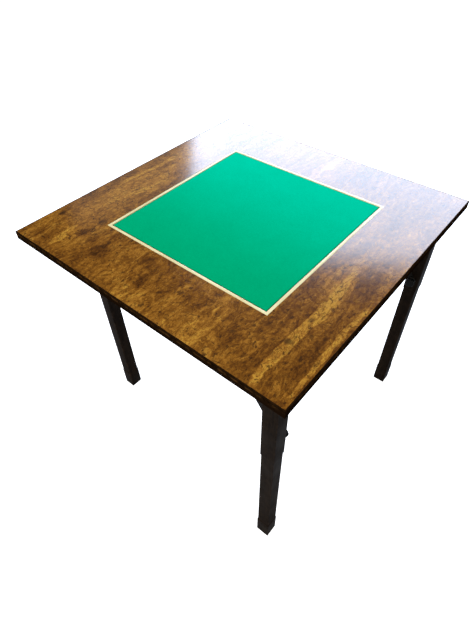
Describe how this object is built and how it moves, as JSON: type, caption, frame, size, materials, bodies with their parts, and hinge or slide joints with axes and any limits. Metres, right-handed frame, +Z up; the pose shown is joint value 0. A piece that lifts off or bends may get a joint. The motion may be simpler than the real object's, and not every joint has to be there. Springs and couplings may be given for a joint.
{
  "type": "folding table",
  "caption": "Square folding games table with an inlaid cloth panel; each wooden leg swings up under the top when its steel stay is unclamped with a hand knob.",
  "frame": {"origin": "on the floor under the middle of the top", "axes": "+Z up; +X towards the pair of legs that stands wide, which fold towards -X; +Y along the two hinge lines"},
  "size_m": [0.8, 0.8, 0.735],
  "materials": {
    "core_board": "sealed particle board, satin brown",
    "burl_veneer": "mottled brown figure under high gloss lacquer",
    "edge_wood": "dark stained, gloss lacquer",
    "inlay_cream": "pale stringing, gloss lacquer",
    "carrier_board": "hardboard, matt",
    "green_cloth": "napped felt, matt",
    "leg_wood": "dark stained, satin lacquer",
    "bracket_steel": "zinc plated, satin",
    "fastener_steel": "zinc plated, satin",
    "stay_paint": "black enamel, satin",
    "knob_plastic": "black moulding, glossy",
    "glide_plastic": "dark moulding, matt"
  },
  "bodies": {
    "table_top": {"top_core": "core_board", "top_veneer": "burl_veneer", "edge_front": "edge_wood", "edge_right": "edge_wood", "edge_back": "edge_wood", "edge_left": "edge_wood", "inlay_front": "inlay_cream", "inlay_right": "inlay_cream", "inlay_back": "inlay_cream", "inlay_left": "inlay_cream", "cloth_board": "carrier_board", "cloth": "green_cloth", "leg_bracket_front_right": "bracket_steel", "leg_bracket_back_right": "bracket_steel", "leg_bracket_back_left": "bracket_steel", "leg_bracket_front_left": "bracket_steel", "pivot_bolt_front_right": "fastener_steel", "pivot_bolt_back_right": "fastener_steel", "pivot_bolt_back_left": "fastener_steel", "pivot_bolt_front_left": "fastener_steel", "pivot_nuts": "fastener_steel", "bracket_screws": "fastener_steel", "stay_ear_front_right": "stay_paint", "stay_ear_back_right": "stay_paint", "stay_ear_back_left": "stay_paint", "stay_ear_front_left": "stay_paint", "stay_rivets": "fastener_steel", "ear_screws": "fastener_steel"},
    "leg_front_right": {"leg_front_right": "leg_wood", "stud_front_right": "fastener_steel", "glide_front_right": "glide_plastic"},
    "stay_front_right": {"stay_front_right": "stay_paint"},
    "washer_front_right": {"washer_front_right": "fastener_steel"},
    "knob_front_right": {"knob_front_right": "knob_plastic"},
    "leg_back_right": {"leg_back_right": "leg_wood", "stud_back_right": "fastener_steel", "glide_back_right": "glide_plastic"},
    "stay_back_right": {"stay_back_right": "stay_paint"},
    "washer_back_right": {"washer_back_right": "fastener_steel"},
    "knob_back_right": {"knob_back_right": "knob_plastic"},
    "leg_back_left": {"leg_back_left": "leg_wood", "stud_back_left": "fastener_steel", "glide_back_left": "glide_plastic"},
    "stay_back_left": {"stay_back_left": "stay_paint"},
    "washer_back_left": {"washer_back_left": "fastener_steel"},
    "knob_back_left": {"knob_back_left": "knob_plastic"},
    "leg_front_left": {"leg_front_left": "leg_wood", "stud_front_left": "fastener_steel", "glide_front_left": "glide_plastic"},
    "stay_front_left": {"stay_front_left": "stay_paint"},
    "washer_front_left": {"washer_front_left": "fastener_steel"},
    "knob_front_left": {"knob_front_left": "knob_plastic"}
  },
  "joints": [
    {"name": "leg_fold_front_right", "type": "hinge", "parent": "table_top", "child": "leg_front_right", "pos_m": [0.347, -0.347, 0.6919], "axis": [0, 1, 0], "range_deg": [0, 90]},
    {"name": "stay_swing_front_right", "type": "hinge", "parent": "table_top", "child": "stay_front_right", "pos_m": [0.202, -0.347, 0.705], "axis": [0, 1, 0], "range_deg": [0, 124]},
    {"name": "washer_slide_front_right", "type": "slide", "parent": "leg_front_right", "child": "washer_front_right", "axis": [0, 1, 0], "range_m": [0, 0.002]},
    {"name": "knob_turn_front_right", "type": "hinge", "parent": "washer_front_right", "child": "knob_front_right", "pos_m": [0.347, -0.347, 0.49], "axis": [0, 1, 0], "range_deg": [0, 720]},
    {"name": "leg_fold_back_right", "type": "hinge", "parent": "table_top", "child": "leg_back_right", "pos_m": [0.347, 0.347, 0.6919], "axis": [0, 1, 0], "range_deg": [0, 90]},
    {"name": "stay_swing_back_right", "type": "hinge", "parent": "table_top", "child": "stay_back_right", "pos_m": [0.202, 0.347, 0.705], "axis": [0, 1, 0], "range_deg": [0, 124]},
    {"name": "washer_slide_back_right", "type": "slide", "parent": "leg_back_right", "child": "washer_back_right", "axis": [0, -1, 0], "range_m": [0, 0.002]},
    {"name": "knob_turn_back_right", "type": "hinge", "parent": "washer_back_right", "child": "knob_back_right", "pos_m": [0.347, 0.347, 0.49], "axis": [0, -1, 0], "range_deg": [0, 720]},
    {"name": "leg_fold_back_left", "type": "hinge", "parent": "table_top", "child": "leg_back_left", "pos_m": [-0.347, 0.239, 0.6919], "axis": [0, -1, 0], "range_deg": [0, 90]},
    {"name": "stay_swing_back_left", "type": "hinge", "parent": "table_top", "child": "stay_back_left", "pos_m": [-0.202, 0.239, 0.705], "axis": [0, -1, 0], "range_deg": [0, 124]},
    {"name": "washer_slide_back_left", "type": "slide", "parent": "leg_back_left", "child": "washer_back_left", "axis": [0, -1, 0], "range_m": [0, 0.002]},
    {"name": "knob_turn_back_left", "type": "hinge", "parent": "washer_back_left", "child": "knob_back_left", "pos_m": [-0.347, 0.239, 0.49], "axis": [0, -1, 0], "range_deg": [0, 720]},
    {"name": "leg_fold_front_left", "type": "hinge", "parent": "table_top", "child": "leg_front_left", "pos_m": [-0.347, -0.239, 0.6919], "axis": [0, -1, 0], "range_deg": [0, 90]},
    {"name": "stay_swing_front_left", "type": "hinge", "parent": "table_top", "child": "stay_front_left", "pos_m": [-0.202, -0.239, 0.705], "axis": [0, -1, 0], "range_deg": [0, 124]},
    {"name": "washer_slide_front_left", "type": "slide", "parent": "leg_front_left", "child": "washer_front_left", "axis": [0, 1, 0], "range_m": [0, 0.002]},
    {"name": "knob_turn_front_left", "type": "hinge", "parent": "washer_front_left", "child": "knob_front_left", "pos_m": [-0.347, -0.239, 0.49], "axis": [0, 1, 0], "range_deg": [0, 720]}
  ],
  "couplings": [
    {"joint": "stay_swing_front_right", "follows": "leg_fold_front_right", "ratio": 1.3777},
    {"joint": "washer_slide_front_right", "follows": "knob_turn_front_right", "m_per_rad": 0.000159},
    {"joint": "stay_swing_back_right", "follows": "leg_fold_back_right", "ratio": 1.3777},
    {"joint": "washer_slide_back_right", "follows": "knob_turn_back_right", "m_per_rad": 0.000159},
    {"joint": "stay_swing_back_left", "follows": "leg_fold_back_left", "ratio": 1.3777},
    {"joint": "washer_slide_back_left", "follows": "knob_turn_back_left", "m_per_rad": 0.000159},
    {"joint": "stay_swing_front_left", "follows": "leg_fold_front_left", "ratio": 1.3777},
    {"joint": "washer_slide_front_left", "follows": "knob_turn_front_left", "m_per_rad": 0.000159}
  ]
}
